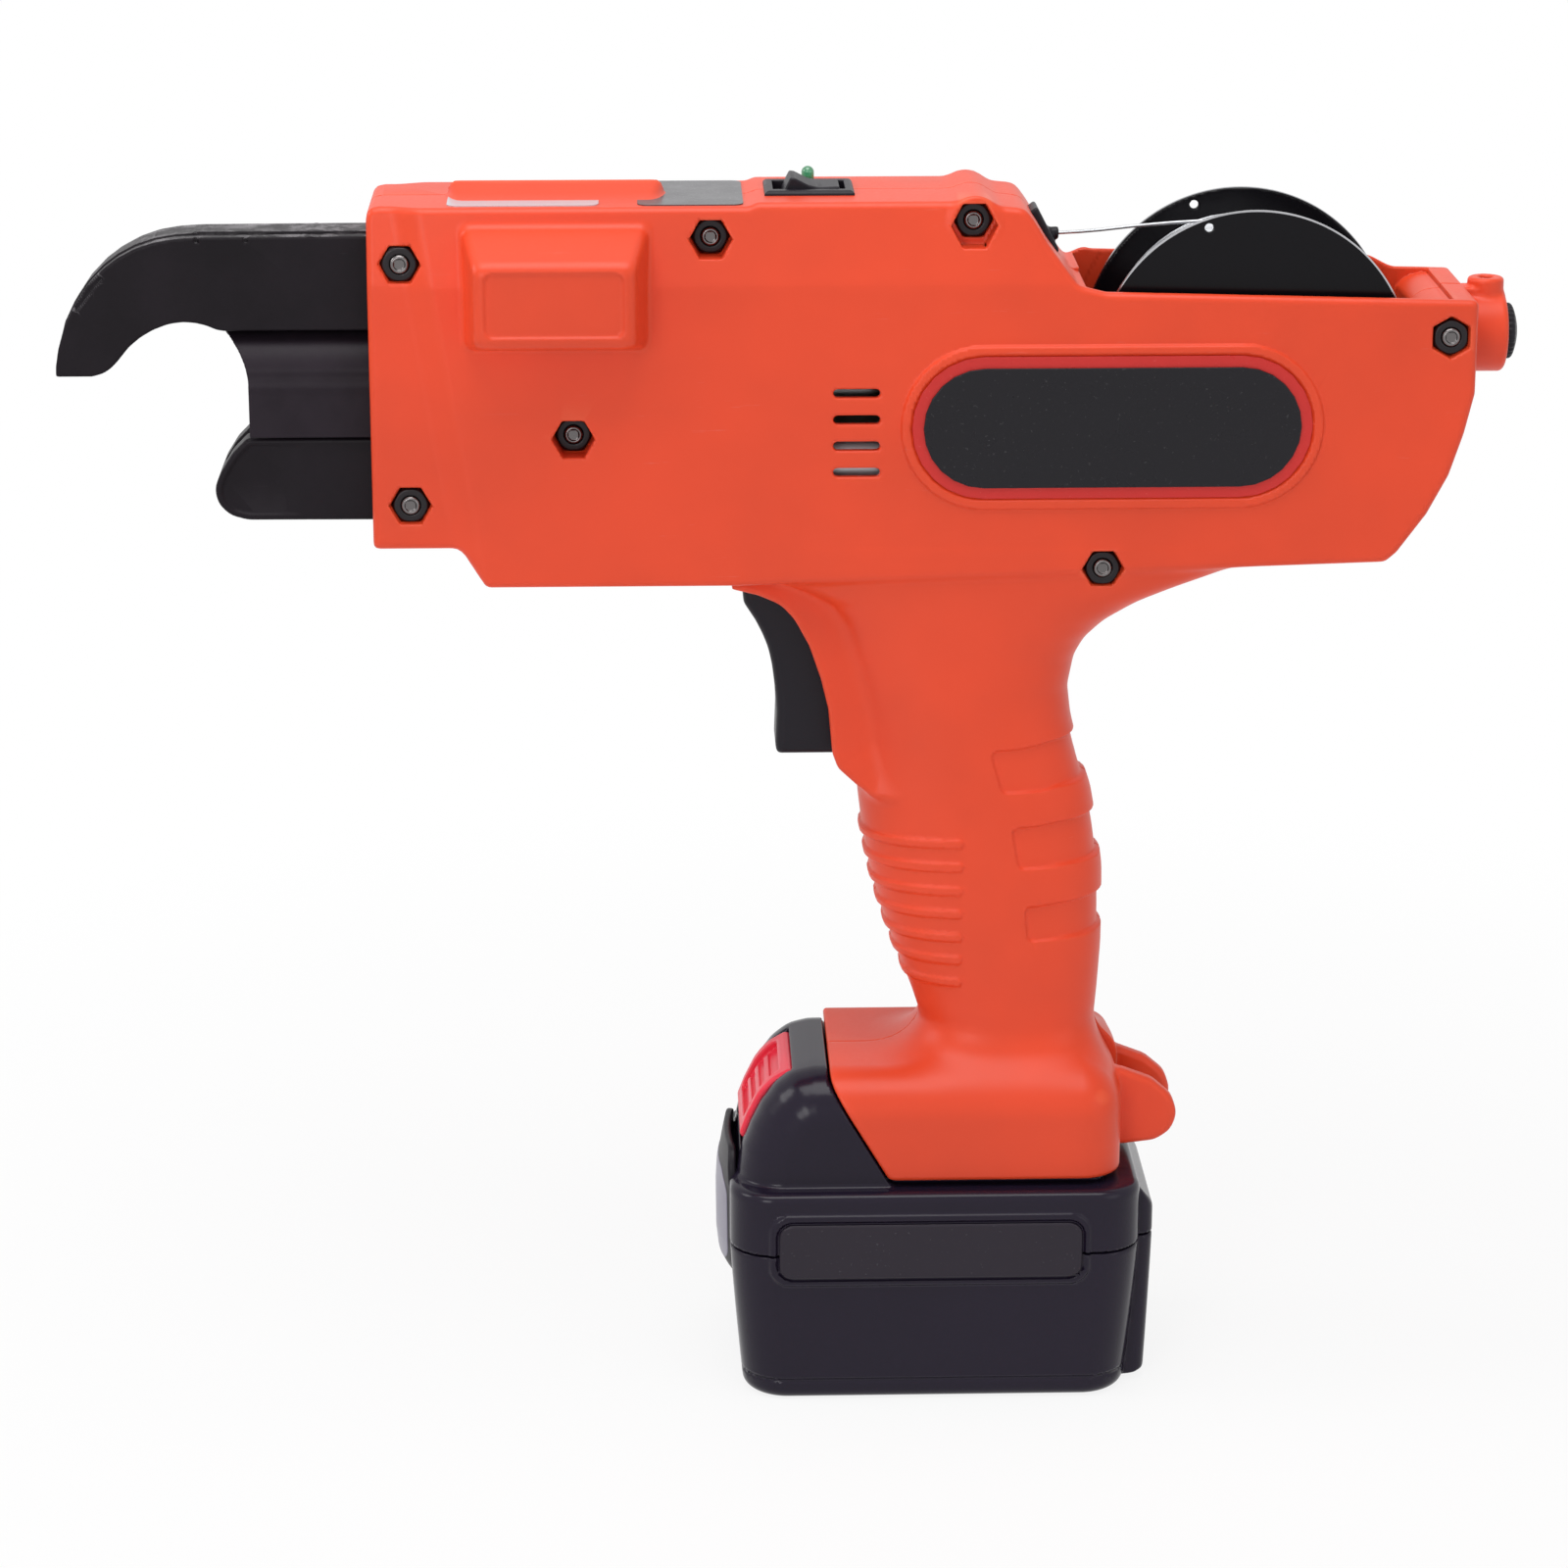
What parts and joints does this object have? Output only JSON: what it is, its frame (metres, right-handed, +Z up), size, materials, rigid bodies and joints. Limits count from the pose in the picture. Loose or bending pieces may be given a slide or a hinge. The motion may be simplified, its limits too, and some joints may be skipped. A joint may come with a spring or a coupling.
{
  "type": "rebar tying tool",
  "caption": "Cordless hand tool that ties crossed bars: wire from a rear reel is fed through a hooked curl guide, twisted and cut; pistol grip, trigger and slide-on battery pack.",
  "frame": {"origin": "centre of the battery pack's flat foot", "axes": "+X to the rear along the tool, nose at -X; +Y to the right of a person holding it; +Z up"},
  "size_m": [0.3466, 0.072, 0.301],
  "materials": {
    "casing_plastic": "satin orange moulding",
    "dark_steel": "dark machined",
    "black_oxide_steel": "black oxide",
    "badge_red": "printed red",
    "badge_black": "glossy black",
    "label_film": "silver film, bare",
    "black_plastic": "satin black",
    "lamp_green": "clear green",
    "board_green": "board lacquer",
    "bright_steel": "ground",
    "nose_steel": "black, worn at the edges",
    "cast_aluminium": "as cast",
    "motor_can": "zinc plated",
    "gear_steel": "oiled",
    "gear_brass": "turned",
    "spring_steel": "bright",
    "reel_plastic": "glossy black",
    "wire_steel": "galvanised",
    "pack_plastic": "satin dark grey",
    "latch_red": "red",
    "pack_plate": "bare film",
    "cell_wrap": "shrink wrap"
  },
  "bodies": {
    "casing": {"casing_left": "casing_plastic", "casing_right": "casing_plastic", "casing_bolts": "dark_steel", "casing_nuts": "black_oxide_steel", "badge_border": "badge_red", "badge_plate": "badge_black", "top_labels": "label_film", "switch_body": "black_plastic", "status_led": "lamp_green", "wire_guide": "black_plastic", "tail_boss": "casing_plastic", "torque_pot": "board_green", "strap_pin": "bright_steel", "curl_guide_core": "nose_steel", "curl_guide_plates": "nose_steel", "guide_rivets": "dark_steel", "nose_barrel": "nose_steel", "front_plate": "cast_aluminium", "middle_plate": "cast_aluminium", "motor_plate": "cast_aluminium", "twist_motor": "motor_can", "feed_motor": "motor_can", "pinch_pin": "bright_steel", "feed_bracket": "cast_aluminium", "cutter_die": "dark_steel", "control_board": "board_green", "trigger_pin": "bright_steel", "trigger_spring": "spring_steel", "trigger_switch": "black_plastic", "wire_strand": "wire_steel", "reel_stub": "bright_steel", "terminal_block": "black_plastic"},
    "trigger": {"trigger": "black_plastic"},
    "rocker": {"rocker": "black_plastic"},
    "torque_dial": {"torque_dial": "black_plastic"},
    "lower_jaw": {"lower_jaw": "nose_steel"},
    "spindle": {"spindle": "bright_steel", "spindle_gear": "gear_steel", "hook_pins": "bright_steel"},
    "motor_pinion": {"motor_pinion": "gear_steel"},
    "sleeve": {"sleeve": "bright_steel"},
    "hook_left": {"hook_left": "dark_steel"},
    "hook_right": {"hook_right": "dark_steel"},
    "feed_drive": {"feed_shaft": "bright_steel", "feed_gear": "gear_brass", "feed_wheel": "gear_steel"},
    "feed_pinion": {"feed_pinion": "gear_steel"},
    "pinch_wheel": {"pinch_wheel": "gear_steel"},
    "cutter_blade": {"cutter_blade": "dark_steel"},
    "reel": {"reel_spool": "reel_plastic", "wire_core": "wire_steel", "wire_winding": "wire_steel"},
    "reel_release": {"reel_release": "black_plastic"},
    "pack": {"pack_bottom": "pack_plastic", "pack_top": "pack_plastic", "pull_lip": "black_plastic", "pack_plates": "pack_plate", "pack_cells": "cell_wrap", "pack_terminals": "gear_brass"},
    "pack_latch": {"pack_latch": "latch_red"}
  },
  "joints": [
    {"name": "trigger_pull", "type": "hinge", "parent": "casing", "child": "trigger", "pos_m": [-0.03402, 0, 0.2069], "axis": [0, -1, 0], "range_deg": [0, 10], "stiffness_Nm_per_rad": 0.35, "springref_deg": -17.19, "deforming": ["trigger_spring"]},
    {"name": "rocker_tilt", "type": "hinge", "parent": "casing", "child": "rocker", "pos_m": [-0.0308, 0, 0.296], "axis": [0, 1, 0], "range_deg": [-18, 0]},
    {"name": "dial_turn", "type": "hinge", "parent": "casing", "child": "torque_dial", "pos_m": [0.124, 0, 0.2616], "axis": [1, 0, 0], "range_deg": [-135, 135]},
    {"name": "jaw_open", "type": "hinge", "parent": "casing", "child": "lower_jaw", "pos_m": [-0.125, 0, 0.2251], "axis": [0, -1, 0], "range_deg": [0, 10], "stiffness_Nm_per_rad": 0.6, "springref_deg": -8.59},
    {"name": "twist_spin", "type": "hinge", "parent": "casing", "child": "spindle", "pos_m": [-0.072, 0, 0.2524], "axis": [1, 0, 0], "continuous": true},
    {"name": "motor_spin", "type": "hinge", "parent": "casing", "child": "motor_pinion", "pos_m": [-0.072, 0, 0.2314], "axis": [1, 0, 0], "continuous": true},
    {"name": "sleeve_slide", "type": "slide", "parent": "spindle", "child": "sleeve", "axis": [-1, 0, 0], "range_m": [0, 0.008], "stiffness_N_per_m": 400, "springref_m": -0.004},
    {"name": "hook_left_close", "type": "hinge", "parent": "spindle", "child": "hook_left", "pos_m": [-0.13601, -0.0042, 0.2524], "axis": [0, 0, -1], "range_deg": [0, 10]},
    {"name": "hook_right_close", "type": "hinge", "parent": "spindle", "child": "hook_right", "pos_m": [-0.13601, 0.0042, 0.2524], "axis": [0, 0, 1], "range_deg": [0, 10]},
    {"name": "cutter_swing", "type": "hinge", "parent": "casing", "child": "cutter_blade", "pos_m": [-0.11931, -0.00726, 0.26918], "axis": [1, 0, 0], "range_deg": [0, 14]},
    {"name": "feed_spin", "type": "hinge", "parent": "casing", "child": "feed_drive", "pos_m": [-0.096, 0, 0.2752], "axis": [0, 1, 0], "continuous": true},
    {"name": "feed_motor_spin", "type": "hinge", "parent": "casing", "child": "feed_pinion", "pos_m": [-0.084, 0, 0.2752], "axis": [0, 1, 0], "continuous": true},
    {"name": "pinch_spin", "type": "hinge", "parent": "casing", "child": "pinch_wheel", "pos_m": [-0.096, 0, 0.2848], "axis": [0, 1, 0], "continuous": true},
    {"name": "reel_spin", "type": "hinge", "parent": "casing", "child": "reel", "pos_m": [0.0733, 0, 0.2566], "axis": [0, 1, 0], "continuous": true},
    {"name": "release_pull", "type": "slide", "parent": "casing", "child": "reel_release", "axis": [0, 1, 0], "range_m": [0, 0.0105], "stiffness_N_per_m": 500, "springref_m": -0.006},
    {"name": "pack_slide", "type": "slide", "parent": "casing", "child": "pack", "axis": [-1, 0, 0], "range_m": [0, 0.105]},
    {"name": "latch_press", "type": "slide", "parent": "pack", "child": "pack_latch", "axis": [-0.4067, 0, -0.9135], "range_m": [0, 0.003], "stiffness_N_per_m": 800, "springref_m": -0.003}
  ],
  "couplings": [
    {"joint": "motor_spin", "follows": "twist_spin", "ratio": -2.5},
    {"joint": "hook_left_close", "follows": "sleeve_slide", "rad_per_m": 21.8},
    {"joint": "hook_right_close", "follows": "sleeve_slide", "rad_per_m": 21.8},
    {"joint": "cutter_swing", "follows": "sleeve_slide", "rad_per_m": 30.5},
    {"joint": "feed_motor_spin", "follows": "feed_spin", "ratio": -1.4},
    {"joint": "pinch_spin", "follows": "feed_spin", "ratio": -1}
  ]
}
